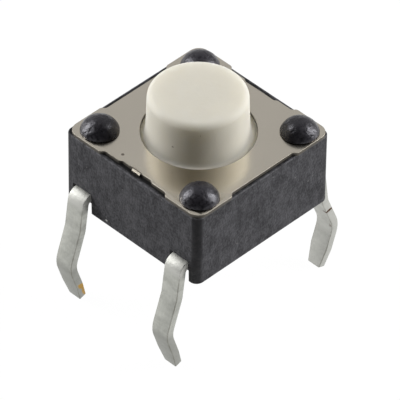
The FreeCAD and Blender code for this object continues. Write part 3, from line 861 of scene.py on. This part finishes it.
class Finish:
    """A material in the making, on the object's coordinates in millimetres."""

    def __init__(self, name, colour, **fixed):
        self.material = bpy.data.materials.new(name)
        self.tree, sink = emptied(self.material, "Material")
        self.colour = colour
        self.shader = add_node(self.tree, "BsdfPrincipled", **fixed)
        self.tree.links.new(self.shader.outputs[0], sink)
        scaled = add_node(self.tree, "Mapping", Scale=(1 / MM, 1 / MM, 1 / MM),
                          Vector=add_node(self.tree, "TexCoord").outputs["Object"])
        self.place = scaled.outputs[0]

    def shared(self, group, **inputs):
        """The mask of a shared effect, placed with its own values."""
        return add_node(self.tree, "Group", {"node_tree": group}, Vector=self.place,
                        **inputs).outputs[0]

    def patches(self, per_millimetre, detail, softness):
        """Soft patches, so many to the millimetre along each axis."""
        return self.shared(mottle(), Per_millimetre=per_millimetre, Detail=detail,
                           Softness=softness)

    def spot(self, centre, half_size, tilt=0.0):
        """One small mark."""
        return self.shared(spot(), Centre=centre, Half_size=half_size, Tilt=tilt)

    def marked(self, name):
        """1 on the faces that carry a mark, 0 elsewhere."""
        return add_node(self.tree, "Attribute", {"attribute_name": name}).outputs["Fac"]

    def axes(self):
        """The place's X, Y and Z."""
        return add_node(self.tree, "SeparateXYZ", Vector=self.place).outputs

    def maths(self, operation, *values):
        return maths(self.tree, operation, *values)

    def spread(self, *values):
        return spread(self.tree, *values)

    def sum_of(self, *parts):
        """Masks added up, each given with its weight."""
        total = 0.0
        for mask, weight in parts:
            total = self.maths("MULTIPLY_ADD", mask, weight, total)
        return total

    def tint(self, mask, colour, amount=1.0):
        """Lay a colour over the colour so far, where a mask says and by an amount."""
        mixed = add_node(self.tree, "Mix", {"data_type": "RGBA"})
        factor = mask if amount == 1 else self.maths("MULTIPLY", mask, amount)
        for socket, value in ((0, factor), (6, self.colour), (7, colour)):
            feed(self.tree, mixed.inputs[socket], value)
        self.colour = mixed.outputs[2]

    def give(self, **values):
        """Feed the shader's own sockets."""
        for key, value in values.items():
            feed(self.tree, self.shader.inputs[key.replace("_", " ")], value)

    def done(self, roughness, *heights):
        """The material, with its relief from height masks and their depths in millimetres."""
        relief = self.sum_of(*((mask, depth * MM) for mask, depth in heights))
        bump = add_node(self.tree, "Bump", Height=relief, Distance=1.0, Strength=1.0)
        self.give(Base_Color=self.colour, Roughness=roughness, Normal=bump.outputs[0])
        return self.material


# Finishes

# Colours of the small marks
CHALK = (0.5, 0.5, 0.48)
RUST = (0.13, 0.1, 0.08)
GRIME = (0.2, 0.17, 0.13)
SCORCH = (0.09, 0.045, 0.025)


def times(colour, factor):
    """A colour made darker or paler."""
    return [part * factor for part in colour]


def black_moulding(s):
    """Matt spark-eroded moulding: rubbed patches, faint upright streaks, a scratched rim,
    painted shade on the upright corners and a painted shadow on the top under the cover.
    """
    paint = Finish("Black moulding", s.dark, Specular_IOR_Level=0.22)
    blotches = paint.patches((4.0, 4.0, 3.0), 2.0, 0.35)
    streaks = paint.patches((6.0, 6.0, 1.2), 2.0, 0.4)
    grain = paint.patches((13.0, 13.0, 11.0), 2.0, 0.35)
    mixed = paint.sum_of((paint.patches((1.8, 1.8, 1.4), 3.0, 0.35), 0.25), (blotches, 0.3),
                         (streaks, 0.1), (grain, 0.35))
    paint.tint(mixed, s.light)
    x, y, z = paint.axes()
    across, along = paint.maths("ABSOLUTE", x), paint.maths("ABSOLUTE", y)
    # Painted shade: the upright corners are darkened, from just before they start to curve
    inside = s.side / 2 - s.corner
    before, beyond = 0.03, 0.1
    corner = paint.spread(paint.maths("MINIMUM", across, along), inside - before,
                          inside + beyond)
    paint.tint(corner, s.dark, 0.95)
    # Painted shadow: the top under the cover is darkened, up to an uneven paler margin along its
    # edges
    wander, skin = 0.05, 0.003
    margin = paint.maths("MULTIPLY_ADD", blotches, wander,
                         paint.maths("MAXIMUM", across, along))
    inner = paint.spread(margin, s.side / 2 - s.lit_rim, s.side / 2 - s.lit_rim / 4, 1.0, 0.0)
    top = paint.maths("GREATER_THAN", z, s.top - skin)
    paint.tint(paint.maths("MULTIPLY", top, inner), s.shadow_and_smudge)
    scratches = paint.patches((5.0, 5.0, 9.0), 4.0, 0.3)
    paint.tint(paint.maths("MULTIPLY", paint.marked("worn"), scratches), s.scratched, 0.25)
    specks = paint.shared(dust(), Per_millimetre=5.0, Share=0.12, Size=0.14)
    fleck = paint.spot((-3.0, 1.096, 0.169), (0.05, 0.05, 0.035))
    pale = paint.maths("MAXIMUM", paint.maths("MULTIPLY", specks, 0.25), fleck)
    paint.tint(pale, CHALK)
    return paint.done(paint.spread(mixed, 0.2, 0.8, 0.62, 0.48),
                      (grain, 0.005), (blotches, 0.005), (streaks, 0.002))


def melted_moulding(s):
    """Glossy crinkled skin of the melted posts."""
    paint = Finish("Melted moulding", s.melted, Specular_Tint=(0.93, 0.92, 1.0))
    folds = paint.patches((3.0, 3.0, 3.0), 2.0, 0.7)
    crinkle = paint.patches((8.0, 8.0, 8.0), 3.0, 0.5)
    paint.tint(crinkle, times(s.melted, 1.5))
    return paint.done(paint.spread(crinkle, 0.0, 1.0, 0.24, 0.42), (folds, 0.02),
                      (crinkle, 0.006))


def cover_steel(s):
    """Rolled satin sheet with fine lines along X; rough where the punch cut it, and dark there
    and along the die roll, partly the cut steel's own tone and partly painted shade.
    """
    paint = Finish("Cover steel", s.steel, Metallic=1.0)
    lines = paint.patches((0.6, 40.0, 1.0), 2.0, 0.8)
    waves = paint.patches((0.45, 0.45, 1.0), 1.0, 1.0)
    cut, rolled = paint.marked("cut"), paint.marked("worn")
    paint.tint(paint.patches((0.7, 0.9, 1.0), 2.0, 0.6), times(s.steel, 0.94), 0.5)
    # Painted shade: the die roll and the cut faces take the cut edge's dark, partly the steel's
    # own tone and partly the shadow in the gaps beside them
    paint.tint(rolled, s.cut_edge_and_shadow, 0.6)
    paint.tint(cut, s.cut_edge_and_shadow)
    torn = paint.spot((-2.77, 0.0, 2.85), (0.08, 0.3, 0.3))
    paint.tint(torn, s.cut_edge_and_shadow, 0.4)
    paint.tint(paint.spot((-2.544, 0.812, 2.89), (0.055, 0.055, 0.1)), RUST, 0.75)
    paint.give(Metallic=paint.maths("MULTIPLY_ADD", cut, -0.6, 1.0))
    gloss = paint.spread(lines, 0.0, 1.0, 0.17, 0.25)
    gloss = paint.maths("MULTIPLY_ADD", paint.maths("MAXIMUM", cut, rolled), 0.35, gloss)
    gloss = paint.maths("MULTIPLY_ADD", torn, 0.4, gloss)
    return paint.done(gloss, (lines, 0.0002), (waves, 0.004))


def ivory_moulding(s):
    """Semi-gloss plastic that light enters a little, with faint smudges, small marks and painted
    light at the foot of the stem.
    """
    paint = Finish("Ivory moulding", s.ivory, Specular_IOR_Level=0.3, Subsurface_Weight=1.0,
                   Subsurface_Radius=(1.0, 0.97, 0.9), Subsurface_Scale=s.depth * MM)
    smudges = paint.patches((1.2, 1.2, 1.2), 4.0, 0.5)
    skin = paint.patches((9.0, 9.0, 9.0), 2.0, 0.7)
    paint.tint(smudges, s.shadow_and_smudge, 0.35)
    # Painted light: the stem's foot, its root rounding and the flange are made paler where
    # little light reaches
    paint.tint(paint.spread(paint.axes()[2], s.flange_top + s.root / 2, s.flange_top), s.painted_light_at_foot)
    speck = paint.spot((-1.609, -0.477, 3.44), (0.04, 0.04, 0.04))
    graze = paint.spot((-1.115, -1.238, 4.09), (0.03, 0.03, 0.12))
    mark = paint.maths("MAXIMUM", paint.maths("MULTIPLY", speck, 0.7),
                       paint.maths("MULTIPLY", graze, 0.35))
    paint.tint(mark, GRIME)
    return paint.done(paint.spread(smudges, 0.0, 1.0, 0.5, 0.62), (skin, 0.0015),
                      (smudges, 0.003))


def plated_brass(s):
    """Dull plated strip: banded flats, bare brass spots, and painted light and shade: paler on
    +X, on the strip's sides and shoulders, darker low on the -X legs and along the sheared
    edges.
    """
    paint = Finish("Plated brass", times(s.tin, 1.15), Metallic=1.0)
    clouds = paint.patches((1.6, 1.6, 2.2), 4.0, 0.45)
    bands = paint.patches((1.0, 1.2, 4.0), 3.0, 0.4)
    fine = paint.patches((12.0, 12.0, 7.0), 3.0, 0.5)
    mixed = paint.sum_of((clouds, 0.4), (bands, 0.35), (fine, 0.25))
    paint.tint(mixed, times(s.tin, 0.8))
    x, _, height = paint.axes()
    below_kink = paint.spread(height, -1.7, -2.1)
    left_legs, right_legs = paint.spread(x, 1.0, -1.0), paint.spread(x, -1.0, 1.0)
    shoulders = paint.spread(height, 0.2, 0.5)
    # Painted shade on the -X legs below the kink; painted light on the +X legs, the strip's
    # sides and the shoulders
    paint.tint(paint.maths("MULTIPLY", below_kink, left_legs), times(s.tin, 0.72))
    paint.tint(right_legs, s.painted_light_tin, 0.7)
    paint.tint(paint.marked("cut"), s.painted_light_tin, 0.1)
    paint.tint(shoulders, s.painted_light_tin)
    # Painted shade: a dark line along the rounded edges, fading out towards the top of the legs
    edge = paint.maths("MULTIPLY", paint.marked("worn"), paint.spread(height, 0.5, 0.1))
    edge = paint.maths("MULTIPLY", edge, paint.spread(clouds, 0.0, 1.0, 0.35, 0.75))
    paint.tint(edge, s.sheared)
    upper = paint.spot((-3.38, 1.86, -2.92), (0.24, 0.16, 0.12), -0.54)
    lower = paint.spot((-3.24, 1.9, -3.2), (0.12, 0.3, 0.33), 0.3)
    paint.tint(paint.maths("MAXIMUM", upper, lower), s.brass)
    scorch = paint.spot((3.46, -2.56, -1.06), (0.19, 0.15, 0.05), 0.25)
    stain = paint.spot((3.56, -2.56, -1.9), (0.06, 0.12, 0.1))
    marks = paint.maths("MAXIMUM", scorch, paint.maths("MULTIPLY", stain, 0.5))
    paint.tint(marks, SCORCH)
    return paint.done(paint.spread(mixed, 0.0, 1.0, 0.5, 0.66),
                      (clouds, 0.005), (bands, 0.004), (fine, 0.002))


def dome_steel(s):
    """Bright spring sheet with faint clouds."""
    paint = Finish("Dome steel", s.steel, Metallic=1.0)
    clouds = paint.patches((2.0, 2.0, 2.0), 3.0, 0.5)
    paint.tint(clouds, times(s.steel, 0.85))
    return paint.done(paint.spread(clouds, 0.0, 1.0, 0.2, 0.34), (clouds, 0.001))


# Stage

def direction(azimuth, elevation):
    """Unit vector from the object, at an azimuth from -Y towards +X and an elevation."""
    level = math.cos(elevation)
    return Vector((math.sin(azimuth) * level, -math.cos(azimuth) * level, math.sin(elevation)))


def add_camera(s):
    """Camera at the photograph's angle, for a square picture."""
    picture = 400
    back = direction(s.azimuth, s.elevation)
    level = Vector((math.cos(s.azimuth), math.sin(s.azimuth), 0))
    above = back.cross(level)
    right = level * math.cos(s.roll) + above * math.sin(s.roll)
    up = above * math.cos(s.roll) - level * math.sin(s.roll)
    across = (s.origin_u - picture / 2) / s.focal * s.distance
    down = (s.origin_v - picture / 2) / s.focal * s.distance
    eye = (back * s.distance - right * across + up * down) * MM
    data = bpy.data.cameras.new("camera")
    data.lens = s.focal / picture * data.sensor_width
    data.clip_start = 0.01
    data.clip_end = 10
    camera = add_object("camera", data)
    camera.matrix_world = Matrix((
        (right.x, up.x, back.x, eye.x), (right.y, up.y, back.y, eye.y),
        (right.z, up.z, back.z, eye.z), (0, 0, 0, 1)))
    bpy.context.scene.camera = camera


def add_lamp(s, name, azimuth, level):
    """A soft box that faces the object; its level is the brightness of its face."""
    data = bpy.data.lights.new(name, "AREA")
    data.shape = "RECTANGLE"
    data.size = s.side_width * MM
    data.size_y = s.side_height * MM
    data.energy = level * math.pi * data.size * data.size_y
    towards = direction(azimuth, s.side_elevation)
    lamp = add_object(name, data)
    lamp.location = towards * s.lamp_distance * MM
    lamp.rotation_mode = "QUATERNION"
    lamp.rotation_quaternion = towards.to_track_quat("Z", "Y")


def add_sky(s):
    """Pale surroundings, darker on the camera's side, as beside a dark camera."""
    fade_start, fade_end = -0.4, 0.2
    world = bpy.data.worlds.new("surroundings")
    tree, sink = emptied(world, "World")
    place = add_node(tree, "TexCoord").outputs["Generated"]
    facing = vector_maths(tree, "DOT_PRODUCT", place, direction(s.azimuth, 0), output=1)
    level = spread(tree, facing, fade_start, fade_end, s.back_sky, s.front_sky)
    light = add_node(tree, "Background", Color=EVEN, Strength=level)
    tree.links.new(light.outputs[0], sink)
    bpy.context.scene.world = world


def floor_finish(s):
    """Pale floor that the camera and mirrors see as white, with part of the shadow."""
    material = bpy.data.materials.new("Pale floor")
    tree, sink = emptied(material, "Material")
    matt = add_node(tree, "BsdfDiffuse", Color=s.floor)
    white = add_node(tree, "Emission", Color=EVEN, Strength=s.floor_level)
    path = add_node(tree, "LightPath")
    seen = maths(tree, "MAXIMUM", path.outputs["Is Camera Ray"], path.outputs["Is Glossy Ray"])
    seen = maths(tree, "MAXIMUM", seen, path.outputs["Is Transmission Ray"])
    mixed = add_node(tree, "MixShader")
    feed(tree, mixed.inputs[0], maths(tree, "MULTIPLY", seen, 1 - s.floor_shadow))
    tree.links.new(matt.outputs[0], mixed.inputs[1])
    tree.links.new(white.outputs[0], mixed.inputs[2])
    tree.links.new(mixed.outputs[0], sink)
    return material


def build_stage(context):
    s = settings(context, "stage")
    bm = bmesh.new()
    bmesh.ops.create_circle(bm, cap_ends=True, segments=96, radius=1.0,
                            matrix=Matrix.Translation((0, 0, CAD_BOX[0].z)))
    floor = add_object("floor", mesh_from(bm, "floor"))
    floor.data.materials.append(floor_finish(s))
    add_camera(s)
    add_lamp(s, "left lamp", s.left_azimuth, s.left_level)
    add_lamp(s, "right lamp", s.right_azimuth, s.right_level)
    add_sky(s)
    context.scene.view_settings.view_transform = "Standard"


# Operators and panel

class StageOperator(bpy.types.Operator):
    """Set up the floor, the lamps, the surroundings and the camera"""
    bl_idname = "switch.build_stage"
    bl_label = "Stage"

    def execute(self, context):
        build_stage(context)
        return {"FINISHED"}


class FramesOperator(bpy.types.Operator):
    """Press the two contact frames with their legs"""
    bl_idname = "switch.build_frames"
    bl_label = "Contact frames"

    def execute(self, context):
        build_frames(context)
        return {"FINISHED"}


class HousingOperator(bpy.types.Operator):
    """Mould the housing"""
    bl_idname = "switch.build_housing"
    bl_label = "Housing"

    def execute(self, context):
        build_housing(context)
        return {"FINISHED"}


class HeadsOperator(bpy.types.Operator):
    """Melt the four posts over the cover"""
    bl_idname = "switch.build_heads"
    bl_label = "Staked heads"

    def execute(self, context):
        build_heads(context)
        return {"FINISHED"}


class CoverOperator(bpy.types.Operator):
    """Stamp the cover plate"""
    bl_idname = "switch.build_cover"
    bl_label = "Cover"

    def execute(self, context):
        build_cover(context)
        return {"FINISHED"}


class PlungerOperator(bpy.types.Operator):
    """Turn the plunger's form"""
    bl_idname = "switch.build_plunger"
    bl_label = "Plunger"

    def execute(self, context):
        build_plunger(context)
        return {"FINISHED"}


class DomeOperator(bpy.types.Operator):
    """Form the snap dome"""
    bl_idname = "switch.build_dome"
    bl_label = "Snap dome"

    def execute(self, context):
        build_dome(context)
        return {"FINISHED"}


OPERATORS = (StageOperator, FramesOperator, HousingOperator, HeadsOperator, CoverOperator,
             PlungerOperator, DomeOperator)


class SwitchPanel(bpy.types.Panel):
    """Lists the pieces in build order, and their sizes and colours"""
    bl_idname = "VIEW3D_PT_tactile_switch"
    bl_label = "Tactile switch"
    bl_space_type = "VIEW_3D"
    bl_region_type = "UI"
    bl_category = "Switch"

    def draw(self, context):
        for operator in OPERATORS:
            self.layout.operator(operator.bl_idname)
        for name in GROUPS:
            box = self.layout.box()
            box.label(text=name.capitalize())
            group = getattr(context.scene.tactile_switch, name)
            for key in GROUPS[name].__annotations__:
                box.prop(group, key)


CLASSES = (*GROUPS.values(), SwitchSettings, *OPERATORS, SwitchPanel)


def register():
    for name, group in GROUPS.items():
        SwitchSettings.__annotations__[name] = bpy.props.PointerProperty(type=group)
    for item in CLASSES:
        bpy.utils.register_class(item)
    bpy.types.Scene.tactile_switch = bpy.props.PointerProperty(type=SwitchSettings)


def unregister():
    del bpy.types.Scene.tactile_switch
    for item in reversed(CLASSES):
        bpy.utils.unregister_class(item)


def main():
    register()
    for operator in OPERATORS:
        group, name = operator.bl_idname.split(".")
        getattr(getattr(bpy.ops, group), name)()


if __name__ == "__main__":
    main()
